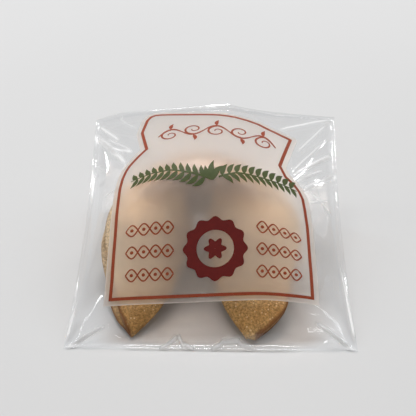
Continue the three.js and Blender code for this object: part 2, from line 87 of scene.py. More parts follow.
# Where the label holds the upper film smooth: both sides as (y, x), and how far the hold fades out.
HELD_LEFT = ((LABEL_FRONT_Y, -31), (8, -27.5), (14, -24), (38, -21))
HELD_RIGHT = ((LABEL_FRONT_Y, 31.4), (0, 30), (6, 25), (16, 23), (22, 26), (38, 8))
HELD_FADE = 1.5
HELD_FRONT_FADE = 2

# ---------------------------------------------------------------- creases, in millimetres

# Fans of creases in the upper film: the point they spread from, their reach, the rise for each
# millimetre out, and their (degrees from +X, level) knots. A level of 1 is a ridge, -1 a valley.
FANS = (
    {"at": (22.5, 2.5), "from": 3, "to": 30, "rise": 0.03, "knots": (
        (-8, 0), (3, 0.5), (12, -0.4), (24, 0.9), (33, -0.9), (40, 0.8), (45, -0.6), (49, 1.0),
        (53, -0.8), (57.5, 0.9), (64, -0.5), (75, 0.2), (90, 0))},
    {"at": (-25.0, 8.0), "from": 3, "to": 32, "rise": 0.035, "knots": (
        (95, 0), (108, 0.3), (118, -0.5), (123.5, 1.0), (128, -0.7), (133, 0.7), (141, -0.6),
        (146, 0.6), (158, -0.3), (172, 0.5), (186, -0.2), (200, 0))},
    {"at": (-42.7, -38.8), "from": 0, "to": 19, "rise": 0.03, "knots": (
        (-10, 0), (6, -0.2), (19.5, 1.0), (38, -0.1), (62, -0.1), (80, 1.0), (86, 0), (100, 0))},
    {"at": (42.8, -38.8), "from": 0, "to": 19, "rise": 0.03, "knots": (
        (80, 0), (94, 0), (98.5, 1.0), (118, -0.1), (142, -0.1), (158, 1.0), (173, -0.2), (190, 0))},
)
FAN_FADES_FROM = 0.35  # of its reach

# Single creases: from (x, y), to (x, y), height, width, and the strength of the painted highlight along the
# crest.
CREASES = (
    ((-42.3, 33.5), (-26.8, 9.0), 0.60, 0.9, 1.0),
    ((-40.5, 35.5), (-31.0, 22.5), 0.25, 0.6, 1.0),
    ((-36.0, 26.2), (-25.5, 14.6), 0.25, 0.5, 0.5),
    ((-34.8, 20.9), (-25.5, 14.1), 0.25, 0.6, 1.0),
    ((-32.4, 38.0), (-31.4, 32.5), 0.25, 0.4, 0.35),
    ((-31.6, 33.2), (-26.5, 27.2), 0.25, 0.4, 0.35),
    ((-41.1, 20.5), (-38.9, 4.5), 0.30, 0.5, 0.8),
    ((-40.7, 20.3), (-33.0, 10.2), 0.20, 0.5, 0.3),
    ((-33.8, 1.6), (-29.0, 1.0), 0.20, 0.5, 0.35),
    ((21.0, 24.0), (41.5, 37.5), 0.40, 0.6, 0.7),
    ((27.5, 16.0), (39.5, 34.5), 0.35, 0.6, 0.6),
    ((25.0, 7.0), (39.4, 28.2), 0.25, 0.5, 0.7),
    ((25.5, 6.5), (41.6, 24.0), 0.30, 0.8, 1.0),
    ((26.3, 4.4), (36.5, 14.8), 0.25, 0.6, 0.9),
    ((28.3, 2.6), (41.6, 17.0), 0.30, 0.8, 1.0),
    ((31.0, 4.0), (38.2, 0.3), 0.35, 0.6, 0.5),
    ((30.0, -0.5), (38.0, 5.0), 0.30, 0.5, 0.4),
    ((33.5, 7.0), (36.5, -2.0), 0.25, 0.5, 0.3),
    ((39.8, -14.0), (42.3, -36.0), 0.15, 0.55, 1.0),
    ((30.5, -33.8), (42.4, -38.6), 0.70, 0.5, 1.0),
    ((-40.3, -25.5), (-42.3, -36.5), 0.15, 0.5, 0.7),
    ((-30.5, -34.7), (-42.2, -38.6), 0.70, 0.5, 1.0),
    ((-10.5, 30.5), (4.2, 38.6), 0.45, 0.8, 0.8),
    ((4.2, 38.6), (9.5, 31.5), 0.60, 0.8, 0.9),
)
# The same, over the front seam.
SEAM_CREASES = (
    ((-15.0, -38.9), (-9.0, -36.6), 0.45, 0.5, 0.9),
    ((-9.2, -36.4), (-7.2, -38.5), 0.45, 0.5, 0.9),
    ((-7.8, -37.7), (-4.4, -38.8), 0.40, 0.5, 0.9),
    ((0.2, -38.9), (4.6, -37.3), 0.60, 0.6, 1.0),
    ((3.0, -37.5), (9.2, -37.4), 0.60, 0.6, 1.0),
    ((7.4, -37.3), (13.2, -38.9), 0.60, 0.6, 1.0),
)
HIGHLIGHT_CREST_SHARE = 0.7  # of a crease's width carries its painted highlight along the crest
CREASE_RISES, CREASE_FALLS = (-0.05, 0.2), (0.8, 1.05)  # shares of its length

# Faint creases at random on both sides, which spread from the middle line at a y of "centre_y".
SMALL_CREASES = {"seed": 7, "count": 70, "x": (24, 41), "y": (-6, 37), "centre_y": 2, "turn": 0.35,
                 "height": (0.04, 0.16), "length": (4, 16), "width": (0.3, 0.7)}

# Broad crinkles of each film: height, size of a facet, the noise's seed, and the level to rest at.
OVER_CRINKLE = {"height": 0.10, "size": 11.0, "seed": 3.1, "rest": 0.7}
UNDER_CRINKLE = {"height": 0.12, "size": 8.0, "seed": 5.5, "rest": 0.4}

# Distances from the bag's edge, in plan, over which each thing comes in or dies away.
CREASED_EDGE = (0.6, 4)
SEAM_EDGE = (0.9, 2.4)
SEAM_CREASE_EDGE = (0.15, 0.7)
SEAM_VEIL_EDGE = (0.9, 1.5)
EDGE_RELIEF = 0.15  # what is left of the creases' height right at the edge

# How white the film is: a faint haze everywhere, more along its seams, and a painted highlight along the
# crests of its creases.
FILM_WHITE_AND_HIGHLIGHT = {"film": 0.006, "seam": 0.02, "crest": 1.0}

# The slack front slope, where the film is scuffed and dull, apart from the middle of its seam.
DULL_Y = (-24, -16)
DULL_X = (22, 26)
DULL_BEHIND = (-37, -35.5)
DULL_SHARE = 0.88

# ---------------------------------------------------------------- small helpers


def smoothstep(x, low, high):
    t = np.clip((x - low) / (high - low), 0, 1)
    return t * t * (3 - 2 * t)


def read_table(table, x):
    xs, ys = zip(*table)
    return np.interp(x, xs, ys)


def add_object(name, data):
    obj = bpy.data.objects.new(name, data)
    bpy.context.scene.collection.objects.link(obj)
    return obj


def new_object(name, verts, faces, smooth=True):
    mesh = bpy.data.meshes.new(name)
    mesh.from_pydata([tuple(v) for v in verts], [], faces)
    mesh.update()
    for poly in mesh.polygons:
        poly.use_smooth = smooth
    return add_object(name, mesh)


def set_vertex_values(mesh, name, values):
    """A number for each vertex, which a material reads by its name."""
    shown = mesh.attributes.new(name, "FLOAT", "POINT")
    shown.data.foreach_set("value", values.astype(np.float32))


class Slabs:
    """Thin closed slabs over a curved surface, gathered into one mesh."""

    SHARP_EDGE_DEG = 40

    def __init__(self):
        self.verts, self.faces = [], []

    def add(self, top, bottom, loop=False):
        """top and bottom: rows of points of the same shape; loop joins the last row to the first."""
        rows, columns = len(top), len(top[0])
        start = len(self.verts)
        self.verts += [p for row in top for p in row] + [p for row in bottom for p in row]

        def upper(r, c):
            return start + (r % rows) * columns + c

        def lower(r, c):
            return upper(r, c) + rows * columns

        side, end = columns - 1, rows - 1
        for r in range(rows if loop else end):
            for c in range(side):
                self.faces.append((upper(r, c), upper(r, c + 1), upper(r + 1, c + 1), upper(r + 1, c)))
                self.faces.append((lower(r, c), lower(r + 1, c), lower(r + 1, c + 1), lower(r, c + 1)))
            self.faces.append((upper(r + 1, 0), lower(r + 1, 0), lower(r, 0), upper(r, 0)))
            self.faces.append((upper(r, side), lower(r, side), lower(r + 1, side), upper(r + 1, side)))
        if not loop:
            for c in range(side):
                self.faces.append((upper(0, c), lower(0, c), lower(0, c + 1), upper(0, c + 1)))
                self.faces.append((upper(end, c + 1), lower(end, c + 1), lower(end, c), upper(end, c)))

    def object(self, name):
        obj = new_object(name, self.verts, self.faces)
        made = bmesh.new()
        made.from_mesh(obj.data)
        bmesh.ops.recalc_face_normals(made, faces=made.faces)
        for edge in made.edges:
            edge.smooth = edge.calc_face_angle(0) < math.radians(self.SHARP_EDGE_DEG)
        made.to_mesh(obj.data)
        made.free()
        return obj


# ---------------------------------------------------------------- the films' shape


def bag_sides(y):
    """x of the bag's left and right side."""
    share = np.clip((y - BAG_Y[0]) / BAG_LENGTH, 0, 1)
    waist = BAG_WAIST * np.sin(np.pi * share)
    left = BAG_LEFT[0] + (BAG_LEFT[1] - BAG_LEFT[0]) * share + waist
    right = BAG_RIGHT[0] + (BAG_RIGHT[1] - BAG_RIGHT[0]) * share - waist
    return left, right


def node_tree(name):
    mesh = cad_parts[name].data
    return BVHTree.FromPolygons([v.co for v in mesh.vertices], [p.vertices for p in mesh.polygons])


def soften(height, passes):
    for _ in range(passes):
        mean = (height[2:, 1:-1] + height[:-2, 1:-1] + height[1:-1, 2:] + height[1:-1, :-2]) / 4
        height[1:-1, 1:-1] += SOFTEN_SHARE * (mean - height[1:-1, 1:-1])


class Film:
    """One of the bag's films as heights over a grid in plan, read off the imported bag."""

    RAY_FROM = 0.2  # metres off the floor, well clear of the bag

    def __init__(self, side):
        """side: 1 for the upper film, -1 for the lower one."""
        across, along = FILM_GRID
        self.a = np.linspace(0, 1, across + 1)
        self.b = np.linspace(0, 1, along + 1)
        self.y = BAG_Y[0] + BAG_LENGTH * self.b
        left, right = bag_sides(self.y)
        self.x = left[:, None] + (right - left)[:, None] * self.a[None, :]
        self.z = np.zeros(self.x.shape)
        tree = node_tree("bag")
        for r, y in enumerate(self.y):
            for c, x in enumerate(self.x[r]):
                px = np.clip(x, left[r] + EDGE_INSET, right[r] - EDGE_INSET)
                py = np.clip(y, BAG_Y[0] + EDGE_INSET, BAG_Y[1] - EDGE_INSET)
                start = Vector((px * MM, py * MM, side * self.RAY_FROM))
                self.z[r, c] = tree.ray_cast(start, Vector((0, 0, -side)))[0].z / MM
        soften(self.z, FILM_SOFTENING)

    def read(self, x, y):
        """The film's height at any place in plan, between the grid's points."""
        x, y = np.asarray(x, float), np.asarray(y, float)
        across, along = FILM_GRID
        left, right = bag_sides(y)
        a = np.clip((x - left) / (right - left), 0, 1) * across
        b = np.clip((y - BAG_Y[0]) / BAG_LENGTH, 0, 1) * along
        a0 = np.minimum(a.astype(int), across - 1)
        b0 = np.minimum(b.astype(int), along - 1)
        fa, fb = a - a0, b - b0
        low = self.z[b0, a0] * (1 - fa) + self.z[b0, a0 + 1] * fa
        high = self.z[b0 + 1, a0] * (1 - fa) + self.z[b0 + 1, a0 + 1] * fa
        return low * (1 - fb) + high * fb


def along_crease(x, y, start, end):
    """Distance to a crease's line, and how much of the crease there is along its length."""
    (x0, y0), (x1, y1) = start, end
    dx, dy = x1 - x0, y1 - y0
    length = math.hypot(dx, dy)
    s = ((x - x0) * dx + (y - y0) * dy) / length**2
    d = np.abs((x - x0) * dy - (y - y0) * dx) / length
    return d, smoothstep(s, *CREASE_RISES) * (1 - smoothstep(s, *CREASE_FALLS))


def ridge(x, y, start, end, height, width):
    d, taper = along_crease(x, y, start, end)
    return height * taper * np.exp(-d / width)


def fan_relief(x, y, fan):
    dx, dy = x - fan["at"][0], y - fan["at"][1]
    r = np.hypot(dx, dy)
    middle = (fan["knots"][0][0] + fan["knots"][-1][0]) / 2
    angle = (np.degrees(np.arctan2(dy, dx)) - middle + 180) % 360 - 180 + middle
    fade = 1 - smoothstep(r, FAN_FADES_FROM * fan["to"], fan["to"])
    return fan["rise"] * np.maximum(r - fan["from"], 0) * fade * read_table(fan["knots"], angle)


def small_creases():
    """Start, end, height and width of each."""
    kind = SMALL_CREASES
    draw = np.random.default_rng(kind["seed"])
    for _ in range(kind["count"]):
        side = draw.choice((-1, 1))
        x, y = side * draw.uniform(*kind["x"]), draw.uniform(*kind["y"])
        angle = math.atan2(y - kind["centre_y"], x) + draw.normal(0, kind["turn"])
        length = draw.uniform(*kind["length"])
        end = (x + length * math.cos(angle), y + length * math.sin(angle))
        yield (x, y), end, draw.uniform(*kind["height"]), draw.uniform(*kind["width"])


def crease_relief(x, y):
    """How far all creases lift the upper film, apart from those over the front seam."""
    relief = sum(fan_relief(x, y, fan) for fan in FANS)
    for crease in CREASES:
        relief = relief + ridge(x, y, *crease[:4])
    for crease in small_creases():
        relief = relief + ridge(x, y, *crease)
    return relief


def crest_highlights(x, y):
    """The painted highlight along the film's sharp folds, and how near each point is to one."""
    white, near = np.zeros(x.shape), np.zeros(x.shape)
    for start, end, _, width, share in CREASES + SEAM_CREASES:
        d, taper = along_crease(x, y, start, end)
        on_crest = taper * np.exp(-((d / (HIGHLIGHT_CREST_SHARE * width)) ** 2))
        white = np.maximum(white, share * on_crest)
        near = np.maximum(near, on_crest)
    return white, near


def crinkle(x, y, height, size, seed, rest):
    """Ridged noise: broad facets that meet in folds."""
    out = np.zeros(x.shape)
    for index in np.ndindex(x.shape):
        p = Vector((x[index] / size, y[index] / size, seed))
        out[index] = 1 - abs(noise.noise(p)) * 2
    return height * (out - rest)


# ---------------------------------------------------------------- material helpers

WHITE = (1, 1, 1)
BLACK = (0, 0, 0)

# A colour mix's share, first and second colour among its inputs, and its result.
MIX_INPUTS, MIX_RESULT = (0, 6, 7), 2


def material(name):
    mat = bpy.data.materials.new(name)
    mat.use_nodes = True
    tree = mat.node_tree
    tree.nodes.clear()
    surface = tree.nodes.new("ShaderNodeOutputMaterial").inputs["Surface"]
    return mat, tree, surface


def feed(tree, value, socket):
    """Give a socket a number or an opaque colour, or link it to another node's output."""
    if isinstance(value, bpy.types.NodeSocket):
        tree.links.new(value, socket)
    elif isinstance(value, tuple):
        socket.default_value = (*value, 1)
    else:
        socket.default_value = value


def node(tree, kind, **values):
    """A node with its settings and inputs given by name, with _ for a space."""
    made = tree.nodes.new(kind)
    for key, value in values.items():
        if hasattr(made, key):
            setattr(made, key, value)
        else:
            feed(tree, value, made.inputs[key.replace("_", " ")])
    return made


def ramp(tree, value, stops):
    made = node(tree, "ShaderNodeValToRGB", Fac=value)
    elements = made.color_ramp.elements
    while len(elements) < len(stops):
        elements.new(0.5)
    for element, (position, colour) in zip(elements, stops):
        element.position = position
        element.color = (*colour, 1)
    return made.outputs["Color"]


def maths(tree, operation, *values):
    made = node(tree, "ShaderNodeMath", operation=operation)
    for socket, value in zip(made.inputs, values):
        feed(tree, value, socket)
    return made.outputs[0]


def mix_colours(tree, share, first, second, blend_type="MIX"):
    made = node(tree, "ShaderNodeMix", data_type="RGBA", blend_type=blend_type)
    for index, value in zip(MIX_INPUTS, (share, first, second)):
        feed(tree, value, made.inputs[index])
    return made.outputs[MIX_RESULT]


def mix_shaders(tree, share, first, second):
    made = node(tree, "ShaderNodeMixShader")
    for socket, value in zip(made.inputs, (share, first, second)):
        feed(tree, value, socket)
    return made.outputs[0]


def shader(tree, kind, **values):
    return node(tree, "ShaderNodeBsdf" + kind, **values).outputs[0]


def object_place(tree):
    return node(tree, "ShaderNodeTexCoord").outputs["Object"]


def vertex_value(tree, name):
    return node(tree, "ShaderNodeAttribute", attribute_name=name).outputs["Fac"]


def sheen_share(tree, head_on, grazing):
    """Schlick's reflectance, the same from either side of a sheet."""
    facing = node(tree, "ShaderNodeLayerWeight", Blend=0.5).outputs["Facing"]
    power = maths(tree, "POWER", facing, 5.0)
    return maths(tree, "MULTIPLY_ADD", power, grazing - head_on, head_on)


# ---------------------------------------------------------------- materials

# Scales of textures are for each metre, and distances of bumps are in metres.

# The wafer: what its broad patches run through, and what its grain multiplies that by.
BAKED = ((0.3, (0.38, 0.205, 0.06)), (0.5, (0.505, 0.295, 0.1)), (0.72, (0.63, 0.41, 0.165)))
SPECKLED = ((0.38, (0.52, 0.44, 0.35)), (0.5, WHITE), (0.62, (1.45, 1.42, 1.35)))
SPECKLE_SHARE = 0.9
PALE_AND_LIT = (0.90, 0.72, 0.50)  # its upper side, paler from its bake and painted lighter where it faces up
BROWNED_AND_SHADED = (0.19, 0.068, 0.017)  # its open edge, and painted shade over its crown
CRUMB = (0.88, 0.66, 0.36)
CRUMB_DOT = ((0.16, WHITE), (0.3, BLACK))  # in the middle of a cell
CRUMB_CELLS = 0.62  # a cell brighter than this has one


def cookie_material():
    """A dry baked wafer, speckled and pitted, that reads where it is paler, partly as painted light, and
    where it is brown, which on the crown is painted shade.
    """
    mat, tree, surface = material("baked wafer")
    place = object_place(tree)
    broad = node(tree, "ShaderNodeTexNoise", Vector=place, Scale=70.0, Detail=4.0, Roughness=0.6)
    grain = node(tree, "ShaderNodeTexNoise", Vector=place, Scale=1500.0, Detail=4.0, Roughness=0.8)
    pores = node(tree, "ShaderNodeTexVoronoi", Vector=place, Scale=1900.0)
    crumbs = node(tree, "ShaderNodeTexVoronoi", Vector=place, Scale=1000.0)

    colour = ramp(tree, broad.outputs["Fac"], BAKED)
    colour = mix_colours(tree, vertex_value(tree, "pale"), colour, PALE_AND_LIT)
    speckle = ramp(tree, grain.outputs["Fac"], SPECKLED)
    colour = mix_colours(tree, SPECKLE_SHARE, colour, speckle, "MULTIPLY")
    dot = ramp(tree, crumbs.outputs["Distance"], CRUMB_DOT)
    chosen = maths(tree, "GREATER_THAN", crumbs.outputs["Color"], CRUMB_CELLS)
    colour = mix_colours(tree, maths(tree, "MULTIPLY", dot, chosen), colour, CRUMB)
    colour = mix_colours(tree, vertex_value(tree, "browned_and_crown_shade"), colour, BROWNED_AND_SHADED)

    bump = node(tree, "ShaderNodeBump", Strength=0.8, Distance=0.0002, Height=grain.outputs["Fac"])
    pits = node(tree, "ShaderNodeBump", Strength=0.3, Distance=0.00012, Height=pores.outputs["Distance"],
                Normal=bump.outputs["Normal"])
    wafer = shader(tree, "Principled", Roughness=0.65, Specular_IOR_Level=0.25, Base_Color=colour,
                   Normal=pits.outputs["Normal"])
    feed(tree, wafer, surface)
    return mat


FILM_GLINT = 0.22  # share of gloss in the painted highlight along the film's folds


def film_material():
    """Clear glossy film, faintly milky, with a painted highlight of white and rough gloss along its folds.
    """
    mat, tree, surface = material("clear film")
    clear = shader(tree, "Transparent", Color=(0.985, 0.99, 0.995))
    gloss = shader(tree, "Anisotropic", Color=WHITE, Roughness=0.05)
    sheen = sheen_share(tree, head_on=0.08, grazing=0.85)
    film = mix_shaders(tree, maths(tree, "MULTIPLY", sheen, vertex_value(tree, "gloss")), clear, gloss)
    white = shader(tree, "Diffuse", Color=(0.97, 0.975, 0.98))
    glint = shader(tree, "Anisotropic", Color=WHITE, Roughness=0.36)
    painted_crest_shine = mix_shaders(tree, FILM_GLINT, white, glint)
    feed(tree, mix_shaders(tree, vertex_value(tree, "white_and_painted_highlight"), film, painted_crest_shine), surface)
    return mat


MILK = (0.96, 0.93, 0.91)
MILK_SHARE = 0.22
BORDER_HIGHLIGHT = 0.6  # painted highlight added along the cut edge
MILK_GLOW = 0.6  # share of the milk that light shines through


def label_material():
    """Frosted sheet: blurs what lies behind it, lets lamp light through, and has a painted highlight along
    its cut edge.
    """
    mat, tree, surface = material("frosted label")
    through = shader(tree, "Refraction", Color=(0.985, 0.97, 0.955), Roughness=0.5, IOR=1.25)
    white = shader(tree, "Diffuse", Color=MILK)
    glow = shader(tree, "Translucent", Color=MILK)
    milk = mix_shaders(tree, MILK_GLOW, white, glow)
    share = maths(tree, "MULTIPLY_ADD", vertex_value(tree, "edge_highlight"), BORDER_HIGHLIGHT, MILK_SHARE)
    body = mix_shaders(tree, share, through, milk)
    sheen = shader(tree, "Anisotropic", Color=WHITE, Roughness=0.4)
    coated = mix_shaders(tree, sheen_share(tree, head_on=0.012, grazing=0.4), body, sheen)
    passing = shader(tree, "Transparent", Color=(0.66, 0.56, 0.48))
    in_shadow = node(tree, "ShaderNodeLightPath").outputs["Is Shadow Ray"]
    feed(tree, mix_shaders(tree, in_shadow, coated, passing), surface)
    return mat


INK_THICK_SHADE = 0.86


def ink_material(name, colour):
    """Matt print ink, in patches a little darker."""
    mat, tree, surface = material(name)
    patches = node(tree, "ShaderNodeTexNoise", Vector=object_place(tree), Scale=900.0, Detail=2.0)
    darker = tuple(INK_THICK_SHADE * c for c in colour)
    shade = ramp(tree, patches.outputs["Fac"], ((0.35, darker), (0.65, colour)))
    ink = shader(tree, "Principled", Roughness=0.6, Specular_IOR_Level=0.3, Base_Color=shade)
    feed(tree, ink, surface)
    return mat


def floor_material():
    mat, tree, surface = material("pale floor")
    faint = node(tree, "ShaderNodeTexNoise", Vector=object_place(tree), Scale=3.0, Detail=2.0)
    shades = ((0.3, (0.605, 0.607, 0.61)), (0.7, (0.64, 0.642, 0.645)))
    shade = ramp(tree, faint.outputs["Fac"], shades)
    feed(tree, shader(tree, "Principled", Roughness=0.8, Base_Color=shade), surface)
    return mat


# ---------------------------------------------------------------- cookie, in millimetres

COOKIE_SUBDIVISIONS = 2
SAME_POINT = 2e-6  # metres
ANY_ANGLE = 3.2  # radians, more than half a turn

RIM_ANGLE_DEG = 48  # faces that meet more sharply than this meet at the wafer's open edge
RIM_POINTS = 10  # along each edge of the rim, from which the browning is measured
RIM_CREASE = 0.75
RIM_REACH = 1.5  # how far the oven's browning runs in from the rim
RIM_UNEVEN = 0.6  # by how much of itself the reach varies
RIM_FADE = (0.15, 1.0)  # shares of the reach
RIM_BROWN = 0.9
RIM_SIDE = (-0.8, 0.4)  # how far out from a horn's tip the browned side of it begins
FLANK_FROM = (-26, -16)  # y behind which the rim is less browned
FLANK_LESS = 0.65

# Painted shade: the crown is darkened toward brown where the lamp lights it most.
CROWN_PAINTED_SHADE = 0.5
CROWN_SHADE_FROM = (26, 35)  # z over which that painted shade comes in over the crown

# The upper side: paler from its bake behind the horns, and painted lighter where it faces up.
PALE_AND_LIT_SHARE = 0.8
PALE_FROM = (-30, -18)  # y over which the wafer's upper side turns paler than its horns
LIT_FACING = (0.0, 0.5)  # upward part of the normal, over which painted light makes the upper side paler
CROWN_FROM = (25, 33)  # z over which that paleness and painted light end, so the crown stays darker as painted shade
VALLEY_FACING = (0.2, 0.7)  # part of the normal toward the middle, in the fold between the flanks, where painted shade takes the paleness away
# painted shade in the fold between the flanks
VALLEY_PAINTED_SHADE = 0.9

# Noise over the wafer, in cells for each metre.
PATCHES = 260
LUMPS, FINE_LUMPS = 420, 1100
FINE_SHARE = 0.5
LUMP_HEIGHT = 0.05


def is_rim(edge):
    return len(edge.link_faces) == 2 and edge.calc_face_angle(0) > math.radians(RIM_ANGLE_DEG)


def rim_tree(made):
    """Points along the wafer's open edge, to measure distances from."""
    rim = [edge for edge in made.edges if is_rim(edge)]
    tree = KDTree(RIM_POINTS * len(rim))
    for k, edge in enumerate(rim):
        for i in range(RIM_POINTS):
            tree.insert(edge.verts[0].co.lerp(edge.verts[1].co, i / RIM_POINTS), RIM_POINTS * k + i)
    tree.balance()
    return tree


def cookie_cage():
    """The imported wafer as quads, creased along its open edge, and the points along that edge."""
    made = bmesh.new()
    made.from_mesh(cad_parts["cookie"].data)
    bmesh.ops.remove_doubles(made, verts=made.verts, dist=SAME_POINT)
    made.normal_update()
    rim = rim_tree(made)
    bmesh.ops.join_triangles(made, faces=made.faces, angle_face_threshold=ANY_ANGLE,
                             angle_shape_threshold=ANY_ANGLE)
    crease = made.edges.layers.float.new("crease_edge")
    for edge in made.edges:
        if is_rim(edge):
            edge[crease] = RIM_CREASE
    mesh = bpy.data.meshes.new("cookie_shell")
    made.to_mesh(mesh)
    made.free()
    return mesh, rim


def subdivide(obj, levels):
    """Replace an object's mesh by its own smooth subdivision."""
    finer = obj.modifiers.new("finer", "SUBSURF")
    finer.levels = finer.render_levels = levels
    bpy.context.view_layer.update()
    evaluated = obj.evaluated_get(bpy.context.evaluated_depsgraph_get())
    mesh = bpy.data.meshes.new_from_object(evaluated)
    obj.modifiers.clear()
    obj.data = mesh
    return mesh


def read_vertices(mesh, what):
    values = np.empty(3 * len(mesh.vertices), np.float32)
    mesh.vertices.foreach_get(what, values)
    return values.reshape(-1, 3)


def outer_side(x, y):
    """1 on the far side of each horn's tip from the other horn, where the wafer lies open."""
    left = x < (x.min() + x.max()) / 2
    tip_left, tip_right = x[left][y[left].argmin()], x[~left][y[~left].argmin()]
    return smoothstep(np.where(left, tip_left - x, x - tip_right), *RIM_SIDE)


def rim_browning_and_crown_shade(points, rim):
    """How brown the wafer is along its open edge, most of all at the horns, with painted shade over its
    crown.
    """
    x, y, z = (points[:, axis] / MM for axis in range(3))
    distance, patch = np.empty(len(points)), np.empty(len(points))
    for k, point in enumerate(points):
        p = Vector(point)
        distance[k] = rim.find(p)[2] / MM
        patch[k] = noise.noise(p * PATCHES)
    reach = RIM_REACH * (1.0 + RIM_UNEVEN * patch)
    share = RIM_BROWN * (1 - smoothstep(distance / reach, *RIM_FADE))
    share *= outer_side(x, y) * (1 - FLANK_LESS * smoothstep(y, *FLANK_FROM))
    return np.maximum(share, CROWN_PAINTED_SHADE * smoothstep(z, *CROWN_SHADE_FROM))


def paleness_and_painted_light(points, normals):
    """How much paler the wafer's upper side is behind its horns, from its bake and from painted light where
    it faces up, with painted shade in the fold between its flanks and on its crown.
    """
    x, y, z = (points[:, axis] / MM for axis in range(3))
    pale_and_lit_share = smoothstep(y, *PALE_FROM) * smoothstep(normals[:, 2], *LIT_FACING)
    pale_and_lit_share *= 1 - smoothstep(z, *CROWN_FROM)
    inward = normals[:, 0] * np.sign((x.min() + x.max()) / 2 - x)
    pale_and_lit_share *= 1 - VALLEY_PAINTED_SHADE * smoothstep(inward, *VALLEY_FACING)
    return PALE_AND_LIT_SHARE * pale_and_lit_share


def lumps(points):
    """The wafer's slight unevenness, in millimetres along its normals."""
    out = np.empty(len(points))
    for k, point in enumerate(points):
        p = Vector(point)
        out[k] = noise.noise(p * LUMPS) + FINE_SHARE * noise.noise(p * FINE_LUMPS)
    return LUMP_HEIGHT * out


def make_cookie():
    cage, rim = cookie_cage()
    obj = add_object("cookie_shell", cage)
    mesh = subdivide(obj, COOKIE_SUBDIVISIONS)
    points, normals = read_vertices(mesh, "co"), read_vertices(mesh, "normal")
    set_vertex_values(mesh, "browned_and_crown_shade", rim_browning_and_crown_shade(points, rim))
    set_vertex_values(mesh, "pale", paleness_and_painted_light(points, normals))
    points += normals * (MM * lumps(points))[:, None]
    mesh.vertices.foreach_set("co", points.ravel())
    mesh.update()
    for poly in mesh.polygons:
        poly.use_smooth = True
    mesh.materials.clear()
    mesh.materials.append(cookie_material())
    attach(obj, "root")
    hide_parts("cookie")


# ---------------------------------------------------------------- film bag


def edge_distance(film):
    """How far each point of a film's grid is from the bag's nearest edge, in plan."""
    across = np.minimum(film.a, 1 - film.a)[None, :] * BAG_WIDTH
    along = np.minimum(film.b, 1 - film.b)[:, None] * BAG_LENGTH
    return np.minimum(across, along)


def off_label(x, y):
    """1 where the upper film is bare, 0 where the label holds it smooth."""
    outside = np.maximum(read_table(HELD_LEFT, y) - x, x - read_table(HELD_RIGHT, y))
    in_front = 1 - smoothstep(y, LABEL_FRONT_Y - HELD_FRONT_FADE, LABEL_FRONT_Y)
    return np.maximum(smoothstep(outside, -HELD_FADE, HELD_FADE), in_front)


def film_heights(x, y, edge, bare, over, under):
    """Heights of the envelope's top and base, which meet in a seam all round."""
    inside = smoothstep(edge, *CREASED_EDGE)
    relief = crease_relief(x, y) + crinkle(x, y, **OVER_CRINKLE)
    top = over.z + relief * (EDGE_RELIEF + (1 - EDGE_RELIEF) * inside) * bare
    base = np.maximum(under.z, UNDER_LIFT) + crinkle(x, y, **UNDER_CRINKLE) * inside
    seam = 1 - smoothstep(edge, *SEAM_EDGE)
    middle = (top + base) / 2
    top = top + (middle + SEAM_THICK / 2 - top) * seam
    base = base + (middle - SEAM_THICK / 2 - base) * seam
    for crease in SEAM_CREASES:
        top = top + ridge(x, y, *crease[:4]) * smoothstep(edge, *SEAM_CREASE_EDGE)
    return top, np.clip(base, LOWEST, top - THINNEST)


def film_looks(x, y, edge, bare):
    """Whiteness of the upper film with its painted highlights, whiteness of the lower film, and the gloss of
    both.
    """
    plain = FILM_WHITE_AND_HIGHLIGHT["film"] + FILM_WHITE_AND_HIGHLIGHT["seam"] * (1 - smoothstep(edge, *SEAM_VEIL_EDGE))
    white, near = crest_highlights(x, y)
    # painted highlight along the crests, where the film is bare
    white_and_highlight = plain + FILM_WHITE_AND_HIGHLIGHT["crest"] * white * bare
    corner = np.maximum(smoothstep(np.abs(x), *DULL_X), smoothstep(y, *DULL_BEHIND))
    dull = (1 - smoothstep(y, *DULL_Y)) * corner * (1 - near)
    return white_and_highlight, plain, 1 - DULL_SHARE * dull


def coarser(grid):
    """Every other row and column."""
    return grid[::2, ::2]


def envelope_faces(rows, columns):
    """Faces of the upper film's grid, of the lower film's coarser one, and of the rim that joins them."""
    low_rows, low_columns = rows // 2 + 1, columns // 2 + 1

    def upper(r, c):
        return r * columns + c

    def lower(r, c):
        return rows * columns + r * low_columns + c

    faces = [(upper(r, c), upper(r, c + 1), upper(r + 1, c + 1), upper(r + 1, c))
             for r in range(rows - 1) for c in range(columns - 1)]
    faces += [(lower(r + 1, c), lower(r + 1, c + 1), lower(r, c + 1), lower(r, c))
              for r in range(low_rows - 1) for c in range(low_columns - 1)]
    end, low_end = rows - 1, low_rows - 1
    for k in range(low_columns - 1):
        i, j, m = 2 * k, 2 * k + 1, 2 * k + 2
        faces.append((lower(0, k), lower(0, k + 1), upper(0, m), upper(0, j), upper(0, i)))
        faces.append((upper(end, i), upper(end, j), upper(end, m), lower(low_end, k + 1), lower(low_end, k)))
    side, low_side = columns - 1, low_columns - 1
    for k in range(low_rows - 1):
        i, j, m = 2 * k, 2 * k + 1, 2 * k + 2
        faces.append((upper(i, 0), upper(j, 0), upper(m, 0), lower(k + 1, 0), lower(k, 0)))
        faces.append((lower(k, low_side), lower(k + 1, low_side), upper(m, side), upper(j, side),
                      upper(i, side)))
    return faces


